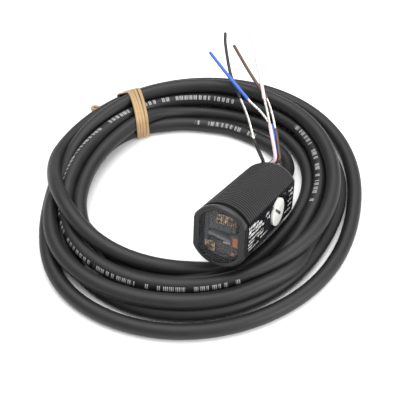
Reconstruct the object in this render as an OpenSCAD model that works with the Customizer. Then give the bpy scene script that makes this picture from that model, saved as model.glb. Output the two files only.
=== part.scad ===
// M18 diffuse photoelectric sensor with a flat-sided threaded barrel, a side adjuster,
// a moulded-on cable wound into a loose coil, and four stripped conductors at its free end.
// Sensor pieces are drawn in the barrel's own frame: +Z out of the front window,
// +X out of the flat that carries the adjuster, +Y up. in_place() then lays the sensor
// down with its rear on the surface and its nose on the coil.

/* [Barrel] */
// Major diameter of the thread
thread_d = 18; // [17.8:0.1:18.2]
// Pitch of the thread
thread_pitch = 1; // [1:0.25:1.5]
// Distance across the two flats
across_flats = 15; // [14.8:0.1:15.4]
// Length of the front bezel
bezel_length = 1.2; // [1:0.2:2]
// Length of the barrel behind the bezel
barrel_length = 32.8; // [31:0.2:33]
// Wall between a flat and the hollow inside
flat_wall = 1.4; // [1.3:0.1:1.5]
// Radius of the round part of the hollow
hollow_r = 7.6; // [7.5:0.1:7.7]

/* [Window and optics] */
// Width of the window opening
window_width = 11.6; // [11.2:0.1:11.8]
// Radius of the window's curved edges
window_r = 7.5; // [7.3:0.1:7.5]
// Thickness of the window
window_thickness = 1.4; // [1.2:0.1:1.6]
// Depth of the window's outer face below the bezel's rim
window_recess = 0.3; // [0.2:0.1:0.5]
// Length of the optics holder
optics_length = 8.8; // [8.6:0.1:8.9]

/* [Adjuster] */
// Distance of the adjuster's axis behind the front rim
adjuster_offset = 21.9; // [21:0.1:22]
// Diameter of the adjuster knob
knob_d = 8.2; // [8:0.2:8.6]
// Angle of the screwdriver slot from the barrel's axis
slot_angle = 35; // [0:5:90]

/* [Cable] */
// Outside diameter of the cable
cable_d = 4.4; // [4.2:0.1:4.4]
// Outside diameter of one insulated conductor
conductor_d = 1.1; // [0.9:0.1:1.2]
// Outside radius of the coil, over its loose outer loop
coil_r = 53; // [50:0.5:54]
// Height of the bundled turns
bundle_h = 12.4; // [12:0.2:13]

/* [Pose] */
// Angle by which the nose is raised
nose_up = 20; // [18:1:22]
// Turn of the barrel about its own axis, adjuster side up
roll = 9; // [5:1:12]

/* [Hidden] */
$fn = 64;

thread_r = thread_d / 2;
root_r = thread_r - 0.55;
smooth_r = thread_r - 0.5;
flat_x = across_flats / 2;
hollow_x = flat_x - flat_wall;
barrel_back = -(bezel_length + barrel_length);
thread_front = -bezel_length - 0.4;
thread_back = barrel_back + 1.5;
slip = 0.05;

// Window, seal and optics sit one behind the other inside the bezel.
window_x = window_width / 2;
window_back = -window_recess - window_thickness;
seal_back = window_back - 0.5;
optics_back = seal_back - optics_length;
board_t = 1;
front_board_back = optics_back - board_t - 1.2;
pocket_left = -4.2;
lower_right = 2.5;
pocket_right = 5.2;
guide_left = 3.9;
pocket_r = 6.7;
barrier_t = 0.8;
lens_focus = 0.8;
lower_focus = -0.4;

// Main board, trimmer and adjuster, measured from the barrel's axis along +X.
main_board_left = -1.8;
main_board_right = main_board_left + board_t;
main_board_front = front_board_back - 0.1;
main_board_back = -29;
main_board_w = 12.4;
trimmer_w = 6.6;
trimmer_top = 3.2;
rotor_r = 1.9;
stem_r = 1.5;
stem_end = 3.4;
knob_r = knob_d / 2;
knob_floor = 6.8;
knob_top = 7.9;
recess_floor = 6.7;
boss_inner = 4.2;
o_ring_seat = 5.8;

// Rear cap and strain relief.
cap_rim = 1.2;
cap_plug = 2.1;
relief_flange_r = 5;
relief_neck_r = 3.5;
relief_end = -43;
cable_r = cable_d / 2;
cable_inner_end = -30.5;

// The barrel's front centre, when the rear rim rests on z = 0.
front_y = -19.25;
front_z = 19.75;
coil_centre = [-21.3, 6.4];
hole_centre = [-24, 4];
hole_angle = 38;
hole_r = 26.5;
hole_reach = 7.5;

// Sensor's lead from the strain relief's mouth to the coil, free end of the cable from
// the coil, under the raised nose, to the jacket's cut end, and the four conductors.
lead_points = [[0, 24.4, 3.8], [-1, 28, 2.7], [-3.5, 31.5, 2.3], [-8, 34.2, 2.3], [-14, 35.4, 2.3]];
tail_points = [[-8, -21.6, 3.2], [-3, -18.2, 2.4], [-0.6, -15, 2.3], [0.3, -11, 2.3], [-0.6, -7, 2.3],
    [-2.3, -4.5, 2.3], [-5.2, -1.3, 2.3], [-7.4, 2.4, 2.3], [-8.9, 6.6, 2.3], [-9.7, 10.8, 2.3],
    [-9.6, 15.5, 2.5], [-8.4, 19.6, 3.6], [-6.2, 22.8, 5.2]];
blue_points = [[-6.2, 23, 5.4], [-4.4, 25, 8.4], [-5.9, 28, 9.6], [-7.2, 29.8, 10.8], [-8.9, 31.9, 12],
    [-10.6, 33.3, 13], [-15.7, 36.3, 13.8], [-21.2, 38.6, 14.5], [-31, 44, 15.8], [-42, 50.6, 17]];
black_points = [[-6.6, 22.6, 5], [-7.3, 22.5, 8], [-9.8, 24, 10], [-12.4, 26, 11.8], [-18.2, 32.8, 12.9],
    [-23.9, 38.6, 13.5], [-28.2, 42.8, 14], [-32.5, 47.3, 14.9], [-39.6, 57.1, 16.6], [-42.4, 62, 17.4]];
brown_points = [[-5.6, 23, 5.2], [-3.2, 25.2, 8], [-4.6, 27.6, 9.5], [-6.3, 30, 11], [-8.5, 32.9, 12.2],
    [-12.5, 38.1, 13.4], [-16.4, 42.2, 14.2], [-22.1, 46.1, 15.4], [-27.7, 50, 16.6], [-36.2, 56.7, 18]];
pink_points = [[-6, 22.6, 5.8], [-3.8, 23.4, 9.2], [-5.1, 25.6, 11], [-7, 28, 12.3], [-9.1, 30.8, 13.2],
    [-10.4, 32.5, 13.8], [-13.4, 36.6, 14.6], [-16.4, 40.4, 15.4], [-19.8, 45.2, 16.2],
    [-27.7, 55.7, 18], [-34.3, 63.9, 20]];

module in_place() {
    translate([0, front_y, front_z])
        rotate([90 - nose_up, 0, 0])
            rotate([0, 0, roll])
                children();
}

// A bar of round section cut by two flats, between two stations on the barrel's axis.
module flat_bar(radius, half_width, front, back) {
    intersection() {
        translate([0, 0, back])
            cylinder(r = radius, h = front - back);
        translate([-half_width, -2 * radius, back - 1])
            cube([2 * half_width, 4 * radius, front - back + 2]);
    }
}

// A round rod along +X, centred on the adjuster's axis.
module adjuster_rod(radius, from, to) {
    translate([from, 0, -adjuster_offset])
        rotate([0, 90, 0])
            cylinder(r = radius, h = to - from);
}

// A block from its low corner to its high corner.
module block(low, high) {
    translate(low)
        cube(high - low);
}

// A straight rod between two points.
module rod(start, end, radius) {
    along = end - start;
    translate(start)
        rotate([0, acos(along.z / norm(along)), atan2(along.y, along.x)])
            cylinder(r = radius, h = norm(along), $fn = 16);
}

// Threaded barrel with two flats and a recessed seat for the adjuster.
module housing() {
    turns = floor((thread_front - thread_back) / thread_pitch);
    ridges = [for (i = [0 : turns - 1], p = [[0, thread_r], [0.35, thread_r], [0.68, root_r]])
        [p[1], thread_back + (i + p[0]) * thread_pitch]];
    profile = concat([[0, barrel_back], [smooth_r, barrel_back], [smooth_r, thread_back - 0.3]],
        ridges, [[smooth_r, thread_front + 0.2], [smooth_r, -bezel_length], [0, -bezel_length]]);
    color("#26272a")
        in_place()
            difference() {
                union() {
                    difference() {
                        intersection() {
                            rotate_extrude($fn = 96)
                                polygon(profile);
                            block([-flat_x, -thread_d, barrel_back - 1], [flat_x, thread_d, 0]);
                        }
                        flat_bar(hollow_r, hollow_x, 0, barrel_back - 1);
                    }
                    adjuster_rod(3.4, boss_inner, hollow_x + 0.5);
                }
                adjuster_rod(2.6, boss_inner - 1, o_ring_seat);
                adjuster_rod(stem_r + 0.06, boss_inner - 1, thread_r);
                adjuster_rod(knob_r + 0.5, recess_floor, thread_r + 1);
            }
}

// Plain ring in front of the thread, holding the window.
module front_bezel() {
    chamfer = 0.5;
    profile = [[0, -bezel_length], [thread_r, -bezel_length], [thread_r, -chamfer],
        [thread_r - chamfer, 0], [0, 0]];
    color("#1d1e20")
        in_place()
            difference() {
                intersection() {
                    rotate_extrude($fn = 96)
                        polygon(profile);
                    block([-flat_x, -thread_d, -bezel_length - 1], [flat_x, thread_d, 1]);
                }
                flat_bar(window_r + slip, window_x + slip, 1, -bezel_length - 1);
            }
}

module front_window() {
    color("#6f7478", 0.5)
        in_place()
            flat_bar(window_r, window_x, -window_recess, window_back);
}

module window_seal() {
    color("#151515")
        in_place()
            difference() {
                flat_bar(window_r, window_x, window_back, seal_back);
                flat_bar(window_r - 0.6, window_x - 0.6, window_back + 1, seal_back - 1);
            }
}

// Frame that holds both lenses, the barrier between them and the two light guides.
module optics_holder() {
    color("#4a4d52")
        in_place()
            difference() {
                flat_bar(window_r - 0.15, window_x - 0.15, seal_back, optics_back);
                intersection() {
                    flat_bar(pocket_r, window_x, seal_back + 1, optics_back - 1);
                    union() {
                        block([pocket_left, -thread_r, optics_back - 1], [lower_right, thread_r, seal_back + 1]);
                        block([0, 0.3, optics_back - 1], [guide_left - 0.2, thread_r, seal_back + 1]);
                    }
                }
                block([guide_left - 1, 0.5, optics_back - 1], [pocket_right, 4.2, seal_back + 1]);
                block([3, -3.3, optics_back - 1], [4.7, -0.3, seal_back + 1]);
                block([2.65, -6.05, optics_back - 1], [4.05, -4.85, seal_back + 1]);
            }
}

// Opaque plate between the sending and the receiving side.
module light_barrier() {
    color("#9a9da0")
        in_place()
            translate([-4.1, -0.65, 0])
                rotate([0, 0, -10.7])
                    block([0, -barrier_t / 2, optics_back], [6.5, barrier_t / 2, seal_back - 0.1]);
}

// Lens with a flat front and a domed back; side is 1 for the upper one, -1 for the lower.
module lens(side) {
    front = seal_back - 0.4;
    bottom = side > 0 ? 0.6 : -6.4;
    top = side > 0 ? 6.4 : -2.4;
    right = side > 0 ? guide_left - 0.2 : lower_right;
    focus = side > 0 ? lens_focus : lower_focus;
    intersection() {
        flat_bar(pocket_r - slip, window_x, front, front - 5);
        block([pocket_left + slip, bottom, front - 5], [right - slip, top, front]);
        translate([focus, (bottom + top) / 2, front + 4.5])
            sphere(r = 8.2, $fn = 72);
    }
}

module emitter_lens() {
    color("#c9ccd0", 0.6)
        in_place()
            lens(1);
}

module receiver_lens() {
    color("#8a7f78", 0.6)
        in_place()
            lens(-1);
}

// Two amber bars that carry the indicators' light to the window.
module light_guides() {
    color("#e08a4a", 0.8)
        in_place() {
            block([3.1, -3.2, optics_back], [4.6, -0.4, seal_back - 0.1]);
            block([2.75, -5.95, optics_back], [3.95, -4.95, seal_back - 0.1]);
        }
}

module front_board() {
    color("#8a6a3a")
        in_place()
            flat_bar(hollow_r - 0.3, window_x - 0.1, front_board_back + board_t, front_board_back);
}

module emitter_led() {
    top = front_board_back + board_t;
    color("#d8d2c0")
        in_place() {
            block([lens_focus - 1.6, 2, top], [lens_focus + 1.6, 4.8, top + 0.6]);
            translate([lens_focus, 3.4, top + 0.6])
                cylinder(r = 1, h = 0.4);
        }
}

module receiver_photodiode() {
    top = front_board_back + board_t;
    color("#30323a")
        in_place()
            block([lower_focus - 1.3, -4.6, top], [lower_focus + 1.3, -2.2, top + 0.6]);
}

// Thin metal can around the photodiode, open towards the lens.
module shield_can() {
    top = front_board_back + board_t;
    color("#b08850")
        in_place()
            difference() {
                block([lower_focus - 2.4, -5.6, top], [lower_focus + 2.4, -1.2, top + 1.1]);
                block([lower_focus - 2.2, -5.4, top - 1], [lower_focus + 2.2, -1.4, top + 0.9]);
                block([lower_focus - 1.2, -4.5, top], [lower_focus + 1.2, -2.3, top + 2]);
            }
}

// Two toothed bronze springs that lie on the optics holder, just behind the window.
module bronze_springs() {
    teeth_up = [for (i = [0 : 9]) -1.7 + 0.6 * i];
    teeth_down = [for (i = [0 : 5]) -4.9 + 0.52 * i];
    color("#b5803e")
        in_place()
            intersection() {
                flat_bar(6.7, 5, seal_back + 0.2, seal_back);
                union() {
                    for (x = teeth_up)
                        block([x, 3, seal_back], [x + 0.38, 5.8 - 0.04 * x * x, seal_back + 0.2]);
                    block([-1.7, 4.1, seal_back], [4.08, 4.4, seal_back + 0.2]);
                    for (x = teeth_down)
                        block([x, -5.9, seal_back], [x + 0.32, -2.5 + 0.5 * x / 5, seal_back + 0.2]);
                    block([-4.9, -4.5, seal_back], [-1.98, -4.2, seal_back + 0.2]);
                }
            }
}

module indicator_leds() {
    top = front_board_back + board_t;
    color("#f0a040")
        in_place() {
            block([3.3, -2.5, top], [4.5, -1.1, top + 0.8]);
            block([2.8, -5.9, top], [3.9, -5, top + 0.8]);
        }
}

module main_board() {
    color("#2f6b3a")
        in_place()
            block([main_board_left, -main_board_w / 2, main_board_back],
                [main_board_right, main_board_w / 2, main_board_front]);
}

// Row of pins that joins the two boards.
module board_pins() {
    color("#d0b060")
        in_place()
            for (i = [-1.5 : 1 : 1.5])
                block([main_board_left - 0.4, i * 1.6 - 0.25, front_board_back - 3],
                    [main_board_left, i * 1.6 + 0.25, front_board_back]);
}

module amplifier_chip() {
    color("#1c1c1e")
        in_place()
            block([main_board_left - 1.5, -3, -24], [main_board_left, 3, -19]);
}

module output_transistors() {
    color("#222226")
        in_place()
            for (y = [-5.2, 2.2])
                block([main_board_right, y, -27.4], [main_board_right + 1.1, y + 3, -25.6]);
}

// Resistors and capacitors on both faces of the main board.
module chip_parts() {
    color("#b8a890")
        in_place() {
            for (i = [0 : 4])
                block([main_board_right, -5.4 + 2.4 * i, -16], [main_board_right + 0.6, -4.4 + 2.4 * i, -14.4]);
            for (i = [0 : 3])
                block([main_board_left - 0.6, -4.6 + 2.6 * i, -26.8], [main_board_left, -3.6 + 2.6 * i, -25.2]);
        }
}

module trimmer_body() {
    low = -adjuster_offset - trimmer_w / 2;
    color("#3a5fa0")
        in_place()
            difference() {
                block([main_board_right, -trimmer_w / 2, low],
                    [trimmer_top, trimmer_w / 2, low + trimmer_w]);
                adjuster_rod(rotor_r + 0.06, 0.6, trimmer_top + 1);
            }
}

// Wiper that the adjuster's blade turns.
module trimmer_rotor() {
    color("#e8e4d8")
        in_place()
            difference() {
                adjuster_rod(rotor_r, 0.7, 3.1);
                block([2.5, -0.45, -adjuster_offset - 1.4], [4, 0.45, -adjuster_offset + 1.4]);
            }
}

// White knob with a screwdriver slot, its stem and the blade that enters the rotor.
module adjuster_knob() {
    color("#f2f1ec")
        in_place()
            difference() {
                union() {
                    adjuster_rod(knob_r, knob_floor, knob_top);
                    adjuster_rod(stem_r, stem_end, knob_floor + 0.5);
                    block([2.7, -0.35, -adjuster_offset - 1.1], [stem_end + 0.5, 0.35, -adjuster_offset + 1.1]);
                }
                translate([0, 0, -adjuster_offset])
                    rotate([-slot_angle, 0, 0])
                        block([knob_top - 0.6, -0.45, -2.6], [knob_top + 1, 0.45, 2.6]);
            }
}

module knob_o_ring() {
    seat = (boss_inner + o_ring_seat) / 2;
    color("#101010")
        in_place()
            translate([seat, 0, -adjuster_offset])
                rotate([0, 90, 0])
                    rotate_extrude()
                        translate([stem_r + 0.52, 0])
                            circle(r = 0.5, $fn = 24);
}

// Thin printed label along the adjuster's flat, cut out around the knob.
module rating_label() {
    half = 4.5;
    color("#101214")
        in_place()
            difference() {
                block([flat_x, -half, barrel_back + 0.6], [flat_x + 0.1, half, -bezel_length - 0.8]);
                adjuster_rod(knob_r + 0.6, flat_x - 1, flat_x + 1);
            }
}

// Plug and rim that close the barrel's rear.
module rear_cap() {
    color("#303236")
        in_place()
            difference() {
                union() {
                    flat_bar(hollow_r - slip, hollow_x - slip, barrel_back + cap_plug, barrel_back);
                    flat_bar(smooth_r - 0.3, flat_x - 0.4, barrel_back, barrel_back - cap_rim);
                }
                translate([0, 0, barrel_back - 5])
                    cylinder(r = relief_neck_r + slip, h = 10);
            }
}

// Flexible boot around the cable, with a flange inside the rear cap.
module strain_relief() {
    cap_front = barrel_back + cap_plug;
    mouth = barrel_back - cap_rim;
    grooves = [for (i = [0 : 2], p = [[0, 0], [0.2, -0.6], [1, -0.6], [1.2, 0]])
        [3.7 - 0.25 * i + p[1], mouth - 1.2 - 2.1 * i - p[0]]];
    profile = concat([[cable_r + slip, cap_front + 1], [relief_flange_r, cap_front + 1],
        [relief_flange_r, cap_front], [relief_neck_r, cap_front], [relief_neck_r, mouth],
        [3.9, mouth]], grooves, [[2.9, relief_end], [cable_r + slip, relief_end]]);
    color("#232427")
        in_place()
            rotate_extrude()
                polygon(profile);
}

// Four conductors from the cable's inner end to the main board.
module inner_wires() {
    pad_x = main_board_right + conductor_d / 2;
    color("#7a5a48")
        in_place()
            for (i = [0 : 3])
                rod([pad_x + 0.1 + (i % 2), -0.9 + 1.8 * floor(i / 2), cable_inner_end],
                    [pad_x, -4.2 + 2.8 * i, main_board_back + 1.4], 0.42);
}

// Tube of flat facets swept along points; each ring stands across the route.
module tube(points, radius, sides) {
    last = len(points) - 1;
    dirs = [for (i = [0 : last]) unit(points[min(i + 1, last)] - points[max(i - 1, 0)])];
    rings = [for (i = [0 : last], k = [0 : sides - 1])
        points[i] + ring_point(dirs[i], radius, 360 * k / sides)];
    walls = [for (i = [0 : last - 1], k = [0 : sides - 1], t = [0, 1])
        let (a = i * sides + k, b = i * sides + (k + 1) % sides)
            t == 0 ? [a, b, b + sides] : [a, b + sides, a + sides]];
    start = [for (k = [1 : sides - 2]) [0, k + 1, k]];
    end = [for (k = [1 : sides - 2]) [last * sides, last * sides + k, last * sides + k + 1]];
    polyhedron(concat(rings), concat(walls, start, end));
}

function unit(v) = v / norm(v);

// A point on a circle across a direction, measured from the level side.
function ring_point(dir, radius, angle) =
    let (side = unit(cross(dir, [0, 0, 1])), up = cross(side, dir))
        radius * (cos(angle) * side + sin(angle) * up);

// Extra points between route points, on a Catmull-Rom curve.
function smooth_route(p, steps) = let (n = len(p) - 1)
    concat([for (i = [0 : n - 1], s = [0 : steps - 1])
        spline(p[max(i - 1, 0)], p[i], p[i + 1], p[min(i + 2, n)], s / steps)], [p[n]]);

function spline(a, b, c, d, t) = 0.5 * (2 * b + (c - a) * t
    + (2 * a - 5 * b + 4 * c - d) * t * t + (3 * b - a - 3 * c + d) * t * t * t);

// A place on the barrel's axis, in the part's frame.
function axis_point(station) =
    [0, front_y - station * cos(nose_up), front_z + station * sin(nose_up)];

module cable_lead() {
    color("#2b2c2e")
        tube(concat([axis_point(cable_inner_end), axis_point(relief_end + 4), axis_point(relief_end)],
            smooth_route(lead_points, 2)), cable_r, 10);
}

// Outer shape of all the coiled turns, cut back around the sensor.
module cable_coil() {
    profile = [[22, 0], [coil_r, 0], [coil_r, cable_d], [coil_r - 5, cable_d + 0.2],
        [coil_r - 8, 9], [coil_r - 12, bundle_h], [34, bundle_h], [29, 8.2], [22, 8.2]];
    color("#2b2c2e")
        difference() {
            translate([coil_centre.x, coil_centre.y, 0])
                rotate_extrude($fn = 96)
                    polygon(profile);
            translate([hole_centre.x, hole_centre.y, -1])
                rotate([0, 0, hole_angle]) {
                    for (side = [-1, 1])
                        translate([side * hole_reach, 0, 0])
                            cylinder(r = hole_r, h = 20);
                    block([-hole_reach, -hole_r, 0], [hole_reach, hole_r, 20]);
                }
            in_place()
                translate([0, 0, relief_end])
                    cylinder(r = thread_r + 0.4, h = 45);
        }
}

module cable_tail() {
    color("#2b2c2e")
        tube(smooth_route(tail_points, 2), cable_r, 10);
}

module wire_blue() {
    color("#3a6ed0")
        tube(smooth_route(blue_points, 2), conductor_d / 2, 8);
}

module wire_black() {
    color("#1a1a1a")
        tube(smooth_route(black_points, 2), conductor_d / 2, 8);
}

module wire_brown() {
    color("#5a3020")
        tube(smooth_route(brown_points, 2), conductor_d / 2, 8);
}

module wire_pink() {
    color("#f0c8d0")
        tube(smooth_route(pink_points, 2), conductor_d / 2, 8);
}

// Band around the bundled turns.
module rubber_band() {
    band_t = 0.8;
    band_w = 3;
    reach_in = 26;
    reach_out = 50;
    color("#c8985a")
        translate([coil_centre.x, coil_centre.y, 0])
            rotate([0, 0, 148])
                rotate([90, 0, 0])
                    translate([0, 0, -band_w / 2])
                        difference() {
                            block([reach_in, 0, 0], [reach_out, bundle_h + 1.6, band_w]);
                            block([reach_in + band_t, band_t, -1],
                                [reach_out - band_t, bundle_h + 1.6 - band_t, band_w + 1]);
                        }
}

housing();
front_bezel();
front_window();
window_seal();
optics_holder();
light_barrier();
emitter_lens();
receiver_lens();
light_guides();
front_board();
emitter_led();
receiver_photodiode();
shield_can();
bronze_springs();
indicator_leds();
main_board();
board_pins();
amplifier_chip();
output_transistors();
chip_parts();
trimmer_body();
trimmer_rotor();
adjuster_knob();
knob_o_ring();
rating_label();
rear_cap();
strain_relief();
inner_wires();
cable_lead();
cable_coil();
cable_tail();
wire_blue();
wire_black();
wire_brown();
wire_pink();
rubber_band();
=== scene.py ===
"""Looks of a threaded photoelectric sensor lying on its coiled cable. All lengths are in metres."""
import math
import random

import bpy
import numpy as np
from mathutils import Matrix, Vector


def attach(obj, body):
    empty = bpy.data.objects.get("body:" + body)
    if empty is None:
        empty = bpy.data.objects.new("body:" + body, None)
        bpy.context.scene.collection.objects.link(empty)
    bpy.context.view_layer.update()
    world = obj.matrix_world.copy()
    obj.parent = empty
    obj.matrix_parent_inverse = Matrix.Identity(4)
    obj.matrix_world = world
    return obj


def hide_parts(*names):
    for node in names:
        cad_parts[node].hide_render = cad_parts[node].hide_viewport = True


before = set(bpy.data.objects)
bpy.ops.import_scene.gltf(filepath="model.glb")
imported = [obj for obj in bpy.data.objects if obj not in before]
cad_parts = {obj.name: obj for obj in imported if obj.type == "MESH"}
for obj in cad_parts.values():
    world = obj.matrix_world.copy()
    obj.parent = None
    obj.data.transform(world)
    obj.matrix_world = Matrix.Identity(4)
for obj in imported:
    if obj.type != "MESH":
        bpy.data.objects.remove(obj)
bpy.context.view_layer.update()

MM = 0.001
RNG = random.Random(7)

# The barrel's own frame: +Z out of the window, +X out of the adjuster's flat.
FRONT = Vector((0, -19.25, 19.75))
NOSE_UP = math.radians(20)
ROLL = math.radians(9)
IN_PLACE = (
    Matrix.Scale(MM, 4)
    @ Matrix.Translation(FRONT)
    @ Matrix.Rotation(math.pi / 2 - NOSE_UP, 4, "X")
    @ Matrix.Rotation(ROLL, 4, "Z")
)
CABLE_R = 2.2
ADJUSTER_Z = -21.9
FLAT_X = 7.5


# ---------------------------------------------------------------- camera

def add_camera():
    data = bpy.data.cameras.new("camera")
    data.lens = 72
    data.sensor_width = 36
    data.clip_start = 0.01
    cam = bpy.data.objects.new("camera", data)
    bpy.context.collection.objects.link(cam)
    cam.location = Vector((62.0, -136.6, 184.3)) * MM
    aim = Vector((-19.5, 4.9, 0)) * MM
    cam.rotation_euler = (aim - cam.location).to_track_quat("-Z", "Y").to_euler()
    bpy.context.scene.camera = cam


add_camera()


# ---------------------------------------------------------------- mesh helpers

def new_object(name, verts, faces, material_ids=None, smooth=True):
    mesh = bpy.data.meshes.new(name)
    mesh.from_pydata([tuple(v) for v in verts], [], faces)
    if material_ids is not None:
        mesh.polygons.foreach_set("material_index", material_ids)
    if smooth:
        mesh.polygons.foreach_set("use_smooth", [True] * len(mesh.polygons))
    mesh.update()
    obj = bpy.data.objects.new(name, mesh)
    bpy.context.collection.objects.link(obj)
    return obj


def spline(points, step):
    """Points about step apart on a Catmull-Rom curve through the given ones."""
    p = np.array(points, float)
    ends = np.vstack([2 * p[0] - p[1], p, 2 * p[-1] - p[-2]])
    out = []
    for a, b, c, d in zip(ends, ends[1:], ends[2:], ends[3:]):
        n = max(2, int(round(np.linalg.norm(c - b) / step)))
        for t in np.arange(n) / n:
            out.append(0.5 * (2 * b + (c - a) * t + (2 * a - 5 * b + 4 * c - d) * t**2
                              + (3 * b - a - 3 * c + d) * t**3))
    out.append(p[-1])
    return np.array(out)


def arc_lengths(path):
    return np.concatenate([[0], np.cumsum(np.linalg.norm(np.diff(path, axis=0), axis=1))])


def ring_axes(path):
    """Tangent, level side and upward side at each point of a path that never stands upright."""
    tangent = np.gradient(path, axis=0)
    tangent /= np.linalg.norm(tangent, axis=1)[:, None]
    side = np.cross(tangent, [0, 0, 1])
    side /= np.linalg.norm(side, axis=1)[:, None]
    return tangent, side, np.cross(side, tangent)


def tube_mesh(path, radii, sides):
    """Vertices and faces of a closed round tube; the radius may change along it."""
    _, side, up = ring_axes(path)
    angles = np.arange(sides) * 2 * math.pi / sides
    rings = (path[:, None]
             + radii[:, None, None] * (np.cos(angles)[None, :, None] * side[:, None]
                                       + np.sin(angles)[None, :, None] * up[:, None]))
    verts = list(rings.reshape(-1, 3))
    n = len(path)
    faces = [(i * sides + k, i * sides + (k + 1) % sides, (i + 1) * sides + (k + 1) % sides, (i + 1) * sides + k)
             for i in range(n - 1) for k in range(sides)]
    faces.append(tuple(range(sides - 1, -1, -1)))
    faces.append(tuple((n - 1) * sides + k for k in range(sides)))
    return verts, faces


# ---------------------------------------------------------------- cable

# The coil's turns, seen from above and wound counter-clockwise. Each row is an azimuth in
# degrees from +X, a radius and a height in mm, and how firmly the strand keeps its place
# while its neighbours settle against it. Azimuths below 100 belong to the turn's last part.
COIL_CENTRE = (-21.5, 6.3)
TURNS = [
    [(118, 29.3, 2.2, 1), (138, 31, 2.2, 1), (151, 33, 2.2, 1), (164, 34.2, 2.2, .8), (178, 35.4, 2.2, .6),
     (202, 36.2, 2.2, .6), (213, 36.8, 2.2, .6), (226, 37.6, 2.2, .5), (242, 38, 2.2, .1), (265, 37.4, 2.2, .1),
     (295, 35.6, 2.2, .1), (318, 33.2, 2.2, .6), (332, 31.6, 2.2, .8), (345, 30.4, 2.2, 1), (356, 30.5, 2.2, 1),
     (8, 31.2, 2.2, 1), (20, 32.9, 2.2, 1), (32, 34.8, 2.2, 1),
     (43, 36.3, 2.2, 1), (57, 37.6, 2.2, 1), (80, 37, 2.2, 1), (98, 35.4, 2.2, 1)],
    [(118, 35, 2.2, 1), (134, 34.8, 3, 1), (145, 34.2, 5.2, 1), (155, 33, 6.6, 1), (166, 31.6, 6.3, 1),
     (176, 31.8, 6, 1), (187, 32.9, 6, 1), (198, 33.2, 6, 1),
     (212, 34.5, 6, 1), (221, 35.9, 6.2, 1), (230, 37.8, 6.4, .7), (241, 39.8, 5.2, .3), (254, 41.2, 3.2, .1),
     (265, 41.5, 2.2, .1), (290, 41, 2.2, .1), (310, 39, 2.2, .1), (340, 36, 2.4, .1), (0, 35.4, 4, .1),
     (24, 37, 5.8, 1),
     (37, 38.6, 5.8, 1), (54, 40.3, 5.8, 1), (66, 40.8, 6, 1), (78, 40, 6, 1), (98, 37.8, 6, 1)],
    [(118, 38, 6, 1), (139, 37.8, 6, 1), (159, 37.6, 6, 1), (178, 36, 6.6, 1), (200, 37, 8, 1),
     (214, 38.4, 7.4, 1), (231, 41.4, 6, 1), (245, 42.1, 6, 1), (254, 42.1, 6, 1), (263, 41.5, 6, 1),
     (278, 40.2, 6, 1), (292, 39.2, 6, 1), (310, 38, 6, 1), (319, 37.8, 6.2, 1), (332, 38.4, 7, 1),
     (344, 39.9, 8.8, 1), (360, 40.4, 9.6, 1), (17, 40.8, 9.8, 1), (32, 41.5, 9.8, 1),
     (53, 42.1, 9.8, 1), (68, 42.6, 9.8, 1), (79, 41.5, 9.8, 1), (95, 41.3, 9.8, 1)],
    [(118, 40.4, 9.8, 1), (143, 39.5, 9.8, 1), (157, 41.4, 8.4, 1), (169, 42.2, 6, 1), (182, 42.3, 5, 1),
     (196, 42.4, 3.4, 1), (210, 42.6, 4.2, .1), (220, 43.4, 6, 1), (232, 46.6, 6, 1), (239, 47.5, 6, 1),
     (253, 47.8, 6, 1), (266, 47.3, 6, 1), (274, 46.2, 6, 1), (284, 45.1, 6, 1), (301, 44, 6, 1),
     (313, 43.6, 6, 1), (335, 42, 5.6, .1), (0, 40.6, 4.8, .1), (24, 40.8, 4.4, .1), (50, 42, 5, .1),
     (80, 42, 5.6, .1)],
    [(110, 42.4, 5.8, .1), (130, 42.4, 5.8, .1), (160, 42.4, 4, .1), (190, 40.5, 2.4, .1),
     (212, 41.4, 2.2, .5), (228, 42.9, 2.2, 1), (240, 44.3, 2.2, 1), (252, 45.9, 2.2, 1), (265, 46.8, 2.2, 1),
     (280, 46.5, 2.2, 1), (295, 45.8, 2.2, 1), (312, 44.6, 2.2, 1), (320, 43.9, 2.2, 1),
     (340, 42.7, 2.2, 1), (356, 41.6, 2.2, 1), (7, 41.7, 2.2, 1), (25, 43.9, 2.2, 1),
     (45, 45.4, 2.2, .3), (80, 45.4, 2.2, .1)],
    [(118, 45.2, 2.2, .1), (150, 43.4, 2.2, .1), (190, 42, 2.2, .1), (212, 42.8, 2.2, .8),
     (226, 45.4, 2.2, 1), (238, 49.2, 2.2, 1), (245, 51.5, 2.2, 1), (253, 52.9, 2.2, 1), (270, 52.7, 2.2, 1),
     (289, 51.9, 2.2, 1), (301, 50.9, 2.2, 1), (320, 49.6, 2.2, 1), (332, 49.2, 2.2, 1),
     (344, 48.8, 2.2, 1), (361, 48.1, 2.2, 1), (378, 47.5, 2.2, 1), (390, 48.6, 2.2, 1),
     (410, 51.1, 2.2, 1), (422, 52.2, 2.2, 1), (438, 52.8, 2.2, 1), (451, 52.2, 2.2, 1)],
    [(103, 51.4, 2.2, 1), (119, 50.2, 2.2, 1), (135, 49.2, 2.2, 1), (155, 48, 2.2, 1), (169, 47.2, 2.2, 1),
     (181, 47, 2.4, 1), (191, 46.3, 3.2, 1), (201, 44.6, 5.6, 1), (210, 42.9, 9.2, 1), (222, 41, 11.6, 1),
     (231, 40.1, 11.8, 1), (241, 39.2, 10.6, 1), (250, 38.4, 9.2, 1), (260, 36.4, 7.4, 1),
     (270, 34.4, 6, 1), (284, 32.4, 4.8, 1), (296, 31, 3.2, .8)],
]
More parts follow.
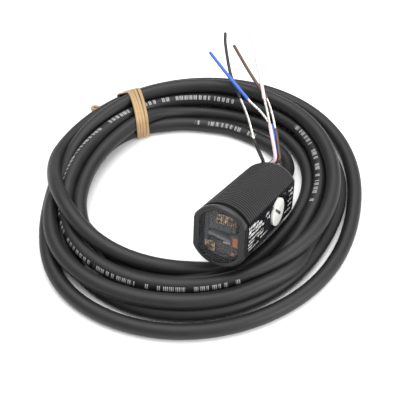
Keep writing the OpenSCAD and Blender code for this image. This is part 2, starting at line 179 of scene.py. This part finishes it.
# From the strain relief to the first turn, and from the last turn, under the raised nose,
# to the jacket's cut end.
LEAD = [(0, 21.2, 5), (0, 24.4, 3.8), (-1, 28, 2.7), (-3.5, 31.5, 2.3), (-8, 34.2, 2.2), (-14, 35.4, 2.2),
        (-20, 35.8, 2.2), (-27, 35.2, 2.2)]
TAIL = [(-3, -18.2, 2.4), (-0.6, -15, 2.3), (0.3, -11, 2.3), (-0.6, -7, 2.3), (-2.3, -4.5, 2.3), (-5.2, -1.3, 2.3),
        (-7.4, 2.4, 2.3), (-8.9, 6.6, 2.3), (-9.7, 10.8, 2.3), (-9.6, 15.5, 2.5), (-8.4, 19.6, 3.6),
        (-6.2, 22.8, 5.2)]
STEP_DEG = 5
SETTLE_STEPS = 70


def coil_guide():
    """The turns as one list of total azimuth, radius, height and hold, evenly spaced."""
    rows = [(a + 360 * (k + (a < 100)), r, z, w) for k, turn in enumerate(TURNS) for a, r, z, w in turn]
    rows = np.array(sorted(rows), float)
    azimuth = np.arange(rows[0, 0], rows[-1, 0] + 0.1, STEP_DEG)
    radius, height, hold = (np.interp(azimuth, rows[:, 0], rows[:, c]) for c in (1, 2, 3))
    for _ in range(7):
        radius[1:-1] = (radius[:-2] + 2 * radius[1:-1] + radius[2:]) / 4
        height[1:-1] = (height[:-2] + 2 * height[1:-1] + height[2:]) / 4
    turn = np.radians(azimuth)
    return np.stack([COIL_CENTRE[0] + radius * np.cos(turn), COIL_CENTRE[1] + radius * np.sin(turn), height], 1), hold


def settle(guide, hold):
    """Pushes strands that overlap apart until they lie a diameter apart, above the surface."""
    points = guide.copy()
    order = np.arange(len(points))
    apart = np.abs(order[:, None] - order) > 5
    give = 1.05 - hold
    share = give[:, None] / (give[:, None] + give)
    for _ in range(SETTLE_STEPS):
        between = points[:, None] - points
        distance = np.sqrt((between**2).sum(2)) + 1e-9
        overlap = np.where(apart, np.maximum(2 * CABLE_R - distance, 0), 0)
        points += 0.4 * (between * (overlap * share / distance)[..., None]).sum(1)
        points[1:-1] += 0.25 * ((points[:-2] + points[2:]) / 2 - points[1:-1])
        points += (guide - points) * (0.02 + 0.12 * hold)[:, None]
        points[:, 2] = np.maximum(points[:, 2], CABLE_R)
    return points


coil_points = settle(*coil_guide())
route = np.vstack([LEAD, coil_points, TAIL])
cable_path = spline(route, 2.0)
CABLE_SIDES = 24
verts, faces = tube_mesh(cable_path, np.full(len(cable_path), CABLE_R), CABLE_SIDES)
cable = new_object("cable", np.array(verts) * MM, faces)

# Stretches that carry the jacket's printed dashes, as total azimuths, and how far round the
# jacket the print lies: 0 faces out of the coil, 0.25 up and 0.5 in.
PRINTED = [(76, 121), (735, 785), (818, 935), (942, 1038)]
PRINT_TURN = [(0, 0.33), (790, 0.33), (818, 0.36), (855, 0.33), (880, 0.26), (915, 0.14), (942, 0.06), (1100, 0.06)]


UNPRINTED = 9  # mm from the line of print: further than any dash reaches


def add_print_coordinates(obj, path):
    """Stores, in mm, how far along the cable each corner lies and how far it is from the line of print."""
    level = path[:, :2] - np.array(COIL_CENTRE)
    azimuth = np.degrees(np.unwrap(np.arctan2(level[:, 1], level[:, 0])))
    start = int(np.argmin(np.linalg.norm(path - coil_points[0], axis=1)))
    azimuth += TURNS[0][0][0] - azimuth[start]
    along = arc_lengths(path)
    middle = np.interp(azimuth, *np.array(PRINT_TURN).T)
    printed = np.zeros(len(path), bool)
    for low, high in PRINTED:
        printed |= (azimuth > low) & (azimuth < high)
    round_mm = 2 * math.pi * CABLE_R
    layer = obj.data.uv_layers.new(name="print")
    for poly in obj.data.polygons:
        i, k = divmod(poly.index, CABLE_SIDES)
        if i >= len(path) - 1:
            continue
        whole_turns = round((k + 0.5) / CABLE_SIDES - middle[i])
        for loop in poly.loop_indices:
            ring, spoke = divmod(obj.data.loops[loop].vertex_index, CABLE_SIDES)
            if k == CABLE_SIDES - 1 and spoke == 0:
                spoke = CABLE_SIDES
            across = (spoke / CABLE_SIDES - middle[i] - whole_turns) * round_mm if printed[i] else UNPRINTED
            layer.data[loop].uv = (along[ring], across)


add_print_coordinates(cable, cable_path)


# ---------------------------------------------------------------- material helpers

def material(name, color, roughness, **inputs):
    mat = bpy.data.materials.new(name)
    mat.use_nodes = True
    shader = mat.node_tree.nodes["Principled BSDF"]
    shader.inputs["Base Color"].default_value = (*color, 1)
    shader.inputs["Roughness"].default_value = roughness
    for key, value in inputs.items():
        shader.inputs[key.replace("_", " ")].default_value = value
    return mat


def add_node(mat, kind, **settings):
    node = mat.node_tree.nodes.new(kind)
    for key, value in settings.items():
        setattr(node, key, value)
    return node


def link(mat, start, end):
    mat.node_tree.links.new(start, end)


def noise(mat, scale, detail=4, source="Object"):
    coords = add_node(mat, "ShaderNodeTexCoord")
    tex = add_node(mat, "ShaderNodeTexNoise")
    tex.inputs["Scale"].default_value = scale
    tex.inputs["Detail"].default_value = detail
    link(mat, coords.outputs[source], tex.inputs["Vector"])
    return tex.outputs["Fac"]


def ramp(mat, fac, stops):
    """A colour ramp; each stop is a position and a grey level or a colour."""
    node = add_node(mat, "ShaderNodeValToRGB")
    elements = node.color_ramp.elements
    while len(elements) < len(stops):
        elements.new(0.5)
    for element, (place, value) in zip(elements, stops):
        element.position = place
        element.color = (*value, 1) if isinstance(value, tuple) else (value, value, value, 1)
    link(mat, fac, node.inputs["Fac"])
    return node.outputs["Color"]


def shader_of(mat):
    return mat.node_tree.nodes["Principled BSDF"]


def blend_base(mat, factor, color):
    """Mixes a colour, or a socket that carries one, into the base colour by the factor."""
    shader = shader_of(mat)
    base = shader.inputs["Base Color"]
    mix = add_node(mat, "ShaderNodeMix", data_type="RGBA")
    first, second = [k for k in mix.inputs if k.type == "RGBA"]
    link(mat, factor, mix.inputs["Factor"])
    if base.links:
        link(mat, base.links[0].from_socket, first)
    else:
        first.default_value = tuple(base.default_value)
    if isinstance(color, tuple):
        second.default_value = (*color, 1)
    else:
        link(mat, color, second)
    link(mat, [k for k in mix.outputs if k.type == "RGBA"][0], base)


def bump(mat, height, strength, distance):
    node = add_node(mat, "ShaderNodeBump")
    node.inputs["Strength"].default_value = strength
    node.inputs["Distance"].default_value = distance
    link(mat, height, node.inputs["Height"])
    link(mat, node.outputs["Normal"], shader_of(mat).inputs["Normal"])


def moulded(name, color, roughness, grain=4000, strength=0.12, spread=0.06, **inputs):
    """Moulded plastic or rubber: fine grain in the surface, faint variation in colour and gloss."""
    mat = material(name, color, roughness, **inputs)
    fine = noise(mat, grain)
    bump(mat, fine, strength, 0.00005)
    wide = noise(mat, 180, 6)
    dark = tuple(c * 0.82 for c in color)
    light = tuple(min(1, c * 1.12) for c in color)
    link(mat, ramp(mat, wide, [(0.3, dark), (0.7, light)]), shader_of(mat).inputs["Base Color"])
    link(mat, ramp(mat, wide, [(0.3, roughness - spread), (0.7, roughness + spread)]),
         shader_of(mat).inputs["Roughness"])
    return mat


def metal(name, color, roughness):
    mat = material(name, color, roughness, Metallic=1.0)
    wide = noise(mat, 900, 5)
    dark = tuple(c * 0.7 for c in color)
    link(mat, ramp(mat, wide, [(0.35, dark), (0.65, color)]), shader_of(mat).inputs["Base Color"])
    return mat


# ---------------------------------------------------------------- cable material

def math_node(mat, operation, *values):
    node = add_node(mat, "ShaderNodeMath", operation=operation)
    for socket, value in zip(node.inputs, values):
        if isinstance(value, (int, float)):
            socket.default_value = value
        else:
            link(mat, value, socket)
    return node.outputs[0]


def random_by(mat, value):
    node = add_node(mat, "ShaderNodeTexWhiteNoise", noise_dimensions="1D")
    link(mat, value, node.inputs["W"])
    return node.outputs["Value"]


# The print's row of dashes, in mm.
DASH_CELL, WORD_CELL, BAR_CELL, DASH_HALF_HEIGHT = 1.6, 14, 0.53, 0.74


def jacket_material():
    """Black PVC with fine grain and a row of plain pale dashes in place of its print."""
    mat = moulded("jacket", (0.011, 0.011, 0.0115), 0.5, grain=2600, strength=0.2, spread=0.05,
                   Specular_IOR_Level=0.34)
    place = add_node(mat, "ShaderNodeUVMap", uv_map="print")
    split = add_node(mat, "ShaderNodeSeparateXYZ")
    link(mat, place.outputs[0], split.inputs[0])
    along, across = split.outputs[0], split.outputs[1]
    cell = math_node(mat, "FLOOR", math_node(mat, "DIVIDE", along, DASH_CELL))
    inside = math_node(mat, "FRACT", math_node(mat, "DIVIDE", along, DASH_CELL))
    length = math_node(mat, "MULTIPLY_ADD", random_by(mat, cell), 0.35, 0.48)
    dash = math_node(mat, "LESS_THAN", inside, length)
    kept = math_node(mat, "GREATER_THAN", random_by(mat, math_node(mat, "ADD", cell, 511)), 0.1)
    word = math_node(mat, "FLOOR", math_node(mat, "DIVIDE", along, WORD_CELL))
    word_place = math_node(mat, "FRACT", math_node(mat, "DIVIDE", along, WORD_CELL))
    gap = math_node(mat, "GREATER_THAN", word_place, math_node(mat, "MULTIPLY", random_by(mat, word), 0.2))
    in_row = math_node(mat, "LESS_THAN", math_node(mat, "ABSOLUTE", across), DASH_HALF_HEIGHT)
    bar = math_node(mat, "LESS_THAN", math_node(mat, "FRACT", math_node(mat, "DIVIDE", along, BAR_CELL)), 0.62)
    mask = math_node(mat, "MULTIPLY", dash, kept)
    for factor in (gap, in_row, bar):
        mask = math_node(mat, "MULTIPLY", mask, factor)
    blend_base(mat, math_node(mat, "MULTIPLY", mask, 0.72), (0.5, 0.5, 0.5))
    return mat


jacket = jacket_material()
cable.data.materials.append(jacket)


# ---------------------------------------------------------------- conductors

WIRE_R = 0.55
STRAND_R = 0.13
STRAND_LAY = 0.25  # how far each outer strand lies from the middle one
LAY_LENGTH = 9
# Route, the stretch left bare (indices of its first and last point), and the colour.
CONDUCTORS = {
    "wire_blue": ([(-6.2, 23, 5.4), (-4.4, 25, 8.4), (-5.9, 28, 9.6), (-7.2, 29.8, 10.8), (-8.9, 31.9, 12),
                   (-10.6, 33.3, 13), (-15.7, 36.3, 13.8), (-21.2, 38.6, 14.5), (-31, 44, 15.8), (-42, 50.6, 17)],
                  (5, 7), (0.03, 0.115, 0.50)),
    "wire_black": ([(-6.6, 22.6, 5), (-7.3, 22.5, 8), (-9.8, 24, 10), (-12.4, 26, 11.8), (-18.2, 32.8, 12.9),
                    (-23.9, 38.6, 13.5), (-28.2, 42.8, 14), (-32.5, 47.3, 14.9), (-39.6, 57.1, 16.6),
                    (-42.4, 62, 17.4)], (3, 5), (0.006, 0.006, 0.007)),
    "wire_brown": ([(-5.6, 23, 5.2), (-3.2, 25.2, 8), (-4.6, 27.6, 9.5), (-6.3, 30, 11), (-8.5, 32.9, 12.2),
                    (-12.5, 38.1, 13.4), (-16.4, 42.2, 14.2), (-22.1, 46.1, 15.4), (-27.7, 50, 16.6),
                    (-36.2, 56.7, 18)], (4, 6), (0.085, 0.045, 0.032)),
    "wire_pink": ([(-6, 22.6, 5.8), (-3.8, 23.4, 9.2), (-5.1, 25.6, 11), (-7, 28, 12.3), (-9.1, 30.8, 13.2),
                   (-10.4, 32.5, 13.8), (-13.4, 36.6, 14.6), (-16.4, 40.4, 15.4), (-19.8, 45.2, 16.2),
                   (-27.7, 55.7, 18), (-34.3, 63.9, 20)], (5, 7), (0.80, 0.58, 0.62)),
}
tinned = metal("tinned_copper", (0.86, 0.84, 0.80), 0.28)


def nearest(path, point):
    return int(np.argmin(np.linalg.norm(path - np.array(point), axis=1)))


def conductor(name, points, bare, color):
    """Insulated core with one stretch stripped to its twisted strands."""
    path = spline(points, 0.5)
    first, last = nearest(path, points[bare[0]]), nearest(path, points[bare[1]])
    verts, faces, ids = [], [], []

    def add(part, material_id):
        base = len(verts)
        verts.extend(part[0])
        faces.extend(tuple(base + i for i in f) for f in part[1])
        ids.extend([material_id] * len(part[1]))

    def insulation(stretch):
        radii = np.full(len(stretch), WIRE_R)
        radii[[0, -1]] = WIRE_R * 0.86
        add(tube_mesh(stretch, radii, 14), 0)

    insulation(path[:first + 1])
    insulation(path[last:])
    span = path[max(first - 2, 0):last + 3]
    _, side, up = ring_axes(span)
    turn = arc_lengths(span) * 2 * math.pi / LAY_LENGTH
    add(tube_mesh(span, np.full(len(span), STRAND_R), 6), 1)
    for k in range(6):
        angle = (turn + k * math.pi / 3)[:, None]
        strand = span + STRAND_LAY * (np.cos(angle) * side + np.sin(angle) * up)
        add(tube_mesh(strand, np.full(len(span), STRAND_R), 6), 1)
    obj = new_object(name.replace("wire", "core"), np.array(verts) * MM, faces, ids)
    obj.data.materials.append(moulded(name, color, 0.38, grain=5000, strength=0.1))
    obj.data.materials.append(tinned)
    return obj, path


cores = []
for name, (points, bare, color) in CONDUCTORS.items():
    obj, path = conductor(name, points, bare, color)
    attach(obj, "sensor")
    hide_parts(name)
    cores.append(obj)


# ---------------------------------------------------------------- rubber band

BAND_OUTER = np.array([-65.4, 31.6])
BAND_INNER = np.array([-46.6, 16.6])


def section(aside):
    """Where the turns cross an upright plane beside the band's middle: distance along it, and height."""
    out = (BAND_OUTER - BAND_INNER) / np.linalg.norm(BAND_OUTER - BAND_INNER)
    level = coil_points[:, :2] - BAND_INNER
    distance, off = level @ out, level @ np.array([-out[1], out[0]]) - aside
    hits = []
    for i in range(len(level) - 1):
        if off[i] * off[i + 1] <= 0 and -6 < distance[i] < 32:
            t = off[i] / (off[i] - off[i + 1])
            hits.append((distance[i] + t * (distance[i + 1] - distance[i]),
                         coil_points[i, 2] + t * (coil_points[i + 1, 2] - coil_points[i, 2])))
    return hits


def wrap(circles, radius, count=160):
    """Closed curve pulled tight round circles, as support points in equally spaced directions."""
    dense = [(r + radius * math.cos(a), z + radius * math.sin(a)) for r, z in circles
             for a in np.linspace(0, 2 * math.pi, 36, endpoint=False)]
    dense = [(r, max(z, 0.55)) for r, z in dense]
    hull = convex_hull(dense)
    closed = np.array(hull + hull[:1])
    along = arc_lengths(closed)
    places = np.linspace(0, along[-1], count, endpoint=False)
    loop = np.stack([np.interp(places, along, closed[:, c]) for c in (0, 1)], 1)
    for _ in range(4):
        loop = (np.roll(loop, 1, 0) + 2 * loop + np.roll(loop, -1, 0)) / 4
    return loop


def convex_hull(points):
    points = sorted(set(points))

    def half(ordered):
        chain = []
        for p in ordered:
            while len(chain) > 1 and ((chain[-1][0] - chain[-2][0]) * (p[1] - chain[-2][1])
                                      - (chain[-1][1] - chain[-2][1]) * (p[0] - chain[-2][0])) <= 0:
                chain.pop()
            chain.append(p)
        return chain[:-1]

    return half(points) + half(points[::-1])


BAND_HALF_WIDTH, BAND_HALF_THICK = 0.6, 0.32


def band_loop(aside, bow, lift):
    """One turn of the band: a flat strip that follows the bundle's outline beside its own plane."""
    flat = (BAND_OUTER - BAND_INNER) / np.linalg.norm(BAND_OUTER - BAND_INNER)
    out = np.array([*flat, 0])
    across = np.array([-out[1], out[0], 0])
    circles = [hit for shift in (-1.2, 0, 1.2) for hit in section(aside - bow / 2 + shift)]
    outline = wrap(circles, CABLE_R + BAND_HALF_THICK + lift)
    middle = outline.mean(0)
    reach = (outline[:, :1] - middle[0]) / np.ptp(outline[:, 0]) * 2
    ring = np.array([*BAND_INNER, 0]) + outline[:, :1] * out + outline[:, 1:] * np.array([0, 0, 1.0])
    ring = ring + across * (aside - bow * (1 - reach**2))
    verts, faces = [], []
    n, sides = len(ring), 8
    for i in range(n):
        along = outline[(i + 1) % n] - outline[i - 1]
        along = along / np.linalg.norm(along)
        normal = along[1] * out + np.array([0, 0, -along[0]])
        for k in range(sides):
            a = 2 * math.pi * (k + 0.5) / sides
            verts.append(ring[i] + BAND_HALF_WIDTH * math.cos(a) * across
                         + BAND_HALF_THICK * math.sin(a) * normal)
    for i in range(n):
        j = (i + 1) % n
        faces += [(i * sides + k, j * sides + k, j * sides + (k + 1) % sides, i * sides + (k + 1) % sides)
                  for k in range(sides)]
    return verts, faces


def add_band():
    verts, faces = [], []
    for aside, bow, lift in ((-1.7, 1.3, 0), (-0.6, 1.1, 0.12), (0.5, 1.3, 0), (1.6, 1.5, 0.1)):
        v, f = band_loop(aside, bow, lift)
        faces += [tuple(len(verts) + i for i in quad) for quad in f]
        verts += v
    loose = [(-63.2, 30.4, 0.6), (-64.2, 28.6, 0.6), (-65.6, 26.4, 0.6), (-68.6, 24.1, 0.7), (-70.9, 23.2, 1.1),
             (-71.6, 22.4, 1.3), (-71.3, 21.6, 1.2), (-70.4, 21.8, 0.9), (-69.7, 22.9, 0.7)]
    path = spline(loose, 0.6)
    v, f = tube_mesh(path, np.full(len(path), 0.62), 8)
    faces += [tuple(len(verts) + i for i in quad) for quad in f]
    verts += list(v)
    obj = new_object("band", np.array(verts) * MM, faces)
    mat = moulded("band_rubber", (0.37, 0.24, 0.115), 0.5, grain=1500, strength=0.3)
    obj.data.materials.append(mat)
    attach(obj, "sensor")
    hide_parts("rubber_band")
    return obj


band = add_band()

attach(cable, "sensor")
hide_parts("cable_lead", "cable_coil", "cable_tail")


# ---------------------------------------------------------------- CAD nodes

def paint(node, mat):
    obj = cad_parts[node]
    for slot in obj.material_slots:
        slot.material = mat
    if not obj.material_slots:
        obj.data.materials.append(mat)


def axis_coordinate(mat, direction, origin):
    """Distance in mm along a direction of the barrel's own frame, from a point in that frame."""
    turned = (IN_PLACE.to_3x3() @ Vector(direction)).normalized()
    coords = add_node(mat, "ShaderNodeTexCoord")
    minus = add_node(mat, "ShaderNodeVectorMath", operation="SUBTRACT")
    link(mat, coords.outputs["Object"], minus.inputs[0])
    minus.inputs[1].default_value = IN_PLACE @ Vector(origin)
    dot = add_node(mat, "ShaderNodeVectorMath", operation="DOT_PRODUCT")
    link(mat, minus.outputs[0], dot.inputs[0])
    dot.inputs[1].default_value = turned
    return math_node(mat, "MULTIPLY", dot.outputs["Value"], 1000)


def axis_distance(mat):
    """How far across the barrel a point lies, and how far from its axis, in mm."""
    across = axis_coordinate(mat, (1, 0, 0), (0, 0, 0))
    upward = axis_coordinate(mat, (0, 1, 0), (0, 0, 0))
    return across, math_node(mat, "SQRT", math_node(mat, "ADD", math_node(mat, "MULTIPLY", across, across),
                                                    math_node(mat, "MULTIPLY", upward, upward)))


def darken(mat, mask, amount):
    """Takes the base colour towards black, by the amount, where the mask is 1."""
    blend_base(mat, math_node(mat, "MULTIPLY", mask, amount), (0.01, 0.01, 0.01))


def barrel_material():
    """Black plastic with a painted highlight along its thread's crests and painted shade in its roots."""
    mat = moulded("barrel_plastic", (0.008, 0.008, 0.009), 0.42, grain=3000, strength=0.08, Specular_IOR_Level=0.2)
    across, radius = axis_distance(mat)
    # Painted highlight on the crests and painted shade in the roots, by distance from the axis.
    shade = ramp(mat, math_node(mat, "SUBTRACT", radius, 8.1), [(0.25, 0.0003), (0.55, 0.002), (0.88, 0.034)])
    threaded = math_node(mat, "LESS_THAN", math_node(mat, "ABSOLUTE", across), FLAT_X - 0.08)
    blend_base(mat, threaded, shade)
    return mat


def paint_highlight_beyond(mat, start, end, color):
    """Paints a highlight on a part towards its outer edge, by distance in mm from the barrel's axis."""
    _, radius = axis_distance(mat)
    place = math_node(mat, "DIVIDE", math_node(mat, "SUBTRACT", radius, start), end - start)
    limited = add_node(mat, "ShaderNodeClamp")
    link(mat, place, limited.inputs["Value"])
    blend_base(mat, limited.outputs[0], color)
    return mat


def bronze(name, scale):
    """Sheet bronze with random tarnished spots and painted highlights: its brightest spots stand in for glints."""
    mat = material(name, (0.6, 0.36, 0.18), 0.35, Metallic=0.6)
    patches = noise(mat, scale, 3)
    # Dark tarnish at one end of the ramp; its near-white end is painted highlight.
    link(mat, ramp(mat, patches, [(0.4, (0.07, 0.045, 0.03)), (0.5, (0.38, 0.2, 0.085)), (0.6, (1.0, 0.78, 0.5))]),
         shader_of(mat).inputs["Base Color"])
    return mat


def edge_glint(mat, low, high):
    """A painted highlight: a bright line that stands in for a reflection on a moulded edge, between two corners given
    in mm across and up the window.
    """
    across = axis_coordinate(mat, (1, 0, 0), (0, 0, 0))
    upward = axis_coordinate(mat, (0, 1, 0), (0, 0, 0))
    mask = 1
    for value, start, end in ((across, low[0], high[0]), (upward, low[1], high[1])):
        mask = math_node(mat, "MULTIPLY", mask, math_node(mat, "GREATER_THAN", value, start))
        mask = math_node(mat, "MULTIPLY", mask, math_node(mat, "LESS_THAN", value, end))
    blend_base(mat, mask, (0.95, 0.95, 0.95))
    return mat


def knob_material():
    """White plastic, with painted shade down in the slot and a faint score across the face."""
    mat = moulded("knob_plastic", (0.74, 0.74, 0.71), 0.32, strength=0.06, spread=0.03)
    centre = (7.9, 0, ADJUSTER_Z)
    turn = math.radians(35)
    depth = math_node(mat, "LESS_THAN", axis_coordinate(mat, (1, 0, 0), centre), -0.25)
    aside = math_node(mat, "ABSOLUTE", axis_coordinate(mat, (0, math.cos(turn), -math.sin(turn)), centre))
    # Painted shade where the slot lies below the face.
    darken(mat, math_node(mat, "MULTIPLY", depth, math_node(mat, "LESS_THAN", aside, 0.5)), 0.8)
    darken(mat, math_node(mat, "LESS_THAN", aside, 0.14), 0.25)
    return mat


paint("housing", barrel_material())
# The bezel's outer rim edge carries a painted highlight.
paint("front_bezel", paint_highlight_beyond(moulded("bezel_plastic", (0.009, 0.0095, 0.010), 0.3, grain=3000, strength=0.06,
                                         Specular_IOR_Level=0.35), 8.6, 8.7, (0.028, 0.028, 0.03)))
paint("rear_cap", moulded("cap_plastic", (0.045, 0.046, 0.05), 0.42))
paint("strain_relief", moulded("boot_rubber", (0.016, 0.016, 0.018), 0.5, strength=0.25))
paint("adjuster_knob", knob_material())
paint("rating_label", moulded("label_film", (0.008, 0.008, 0.010), 0.16, strength=0.03, spread=0.04))
paint("front_window", material("window_clear", (0.05, 0.052, 0.058), 0.03, Alpha=0.22, IOR=1.49))
paint("window_seal", moulded("seal_rubber", (0.006, 0.006, 0.006), 0.6))
paint("optics_holder", moulded("holder_plastic", (0.085, 0.088, 0.095), 0.4))
paint("light_barrier", moulded("barrier_plastic", (0.30, 0.30, 0.31), 0.4))
paint("emitter_lens", material("lens_clear", (0.085, 0.10, 0.11), 0.08, Alpha=0.8, IOR=1.5))
# The receiver lens carries a painted highlight along its top edge.
paint("receiver_lens", edge_glint(material("lens_tinted", (0.08, 0.068, 0.055), 0.08, Alpha=0.8, IOR=1.5),
                                  (0.3, -2.85), (2.4, -2.3)))
paint("light_guides", moulded("amber_guide", (0.85, 0.26, 0.06), 0.2, strength=0.1))
paint("front_board", moulded("board_gold", (0.34, 0.24, 0.12), 0.4))
paint("emitter_led", moulded("led_package", (0.75, 0.70, 0.55), 0.3))
paint("receiver_photodiode", moulded("diode_package", (0.05, 0.05, 0.07), 0.15))
paint("shield_can", bronze("bronze_sheet", 700))
paint("bronze_springs", bronze("spring_bronze", 1100))
paint("indicator_leds", moulded("indicator_package", (0.9, 0.5, 0.2), 0.3))
paint("main_board", moulded("board_green", (0.02, 0.16, 0.06), 0.4))
paint("board_pins", metal("gold_pins", (0.85, 0.62, 0.25), 0.25))
for node in ("amplifier_chip", "output_transistors"):
    paint(node, moulded(node + "_case", (0.02, 0.02, 0.02), 0.5))
paint("chip_parts", moulded("chip_ceramic", (0.45, 0.36, 0.26), 0.5))
paint("trimmer_body", moulded("trimmer_case", (0.05, 0.12, 0.38), 0.4))
paint("trimmer_rotor", moulded("trimmer_rotor_plastic", (0.8, 0.78, 0.7), 0.4))
paint("knob_o_ring", moulded("o_ring_rubber", (0.01, 0.01, 0.01), 0.5))
paint("inner_wires", moulded("inner_wire_pvc", (0.2, 0.1, 0.06), 0.4))


# ---------------------------------------------------------------- label marks

# Rows of plain blocks that stand in for the label's print: middle and height across the
# label, and where the row starts and ends behind the front rim, in mm.
LABEL_ROWS = [(3.2, 0.95, 2.6, 8.6), (1.95, 0.95, 2.6, 11.2), (0.75, 0.8, 2.6, 12.6), (-0.65, 0.5, 3.0, 12.2),
              (-1.6, 0.5, 2.6, 6.4), (-1.6, 0.5, 8.4, 12.4), (-2.5, 0.5, 2.6, 5.6), (-3.4, 0.35, 3.0, 9.4),
              (2.5, 1.1, 13.6, 15.6), (1.1, 0.9, 14.6, 16.4), (-2.9, 0.4, 10.6, 15.4),
              (3.0, 0.9, 29.6, 32.6), (1.5, 0.8, 30.4, 33.0), (0.0, 0.6, 29.4, 33.0), (-1.5, 0.5, 29.8, 32.8),
              (-2.9, 0.5, 27.6, 31.6)]


def add_label_marks():
    verts, faces = [], []
    for middle, height, start, end in LABEL_ROWS:
        place = start
        while place < end:
            width = min(RNG.choice((0.25, 0.4, 0.7)) * (0.6 + height / 2), end - place)
            low = middle - height / 2 * RNG.choice((1, 1, 0.4))
            high = middle + height / 2 * RNG.choice((1, 1, 0.5))
            base = len(verts)
            for x in (FLAT_X + 0.1, FLAT_X + 0.125):
                for y, z in ((low, -place), (high, -place), (high, -place - width), (low, -place - width)):
                    verts.append(IN_PLACE @ Vector((x, y, z)))
            faces += [(base + 4, base + 7, base + 6, base + 5)]
            faces += [(base + k, base + (k + 1) % 4, base + 4 + (k + 1) % 4, base + 4 + k) for k in range(4)]
            faces += [(base, base + 1, base + 2, base + 3)]
            place += width + RNG.choice((0.16, 0.2, 0.42))
    obj = new_object("label_marks", verts, faces, smooth=False)
    obj.data.materials.append(moulded("mark_ink", (0.55, 0.55, 0.54), 0.4, strength=0.05))
    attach(obj, "sensor")


add_label_marks()


# ---------------------------------------------------------------- floor, light

def add_floor():
    floor = new_object("floor", [(-3, -3, -0.00002), (3, -3, -0.00002), (3, 3, -0.00002), (-3, 3, -0.00002)],
                       [(0, 1, 2, 3)], smooth=False)
    floor.data.materials.append(material("floor_white", (0.95, 0.95, 0.95), 0.8))


def add_area(name, place, aim, size, power):
    data = bpy.data.lights.new(name, "AREA")
    data.shape = "DISK"
    data.size = size
    data.energy = power
    lamp = bpy.data.objects.new(name, data)
    bpy.context.collection.objects.link(lamp)
    lamp.location = place
    lamp.rotation_euler = (Vector(aim) - Vector(place)).to_track_quat("-Z", "Y").to_euler()


add_floor()
world = bpy.data.worlds.new("studio")
bpy.context.scene.world = world
world.use_nodes = True
world.node_tree.nodes["Background"].inputs["Color"].default_value = (1, 1, 1, 1)
world.node_tree.nodes["Background"].inputs["Strength"].default_value = 0.65
add_area("key", (-0.10, 0.15, 0.85), (0, 0, 0), 1.1, 11.0)
add_area("side", (0.60, -0.05, 0.32), (0, 0, 0.01), 0.45, 3.4)
bpy.context.scene.view_settings.view_transform = "Standard"
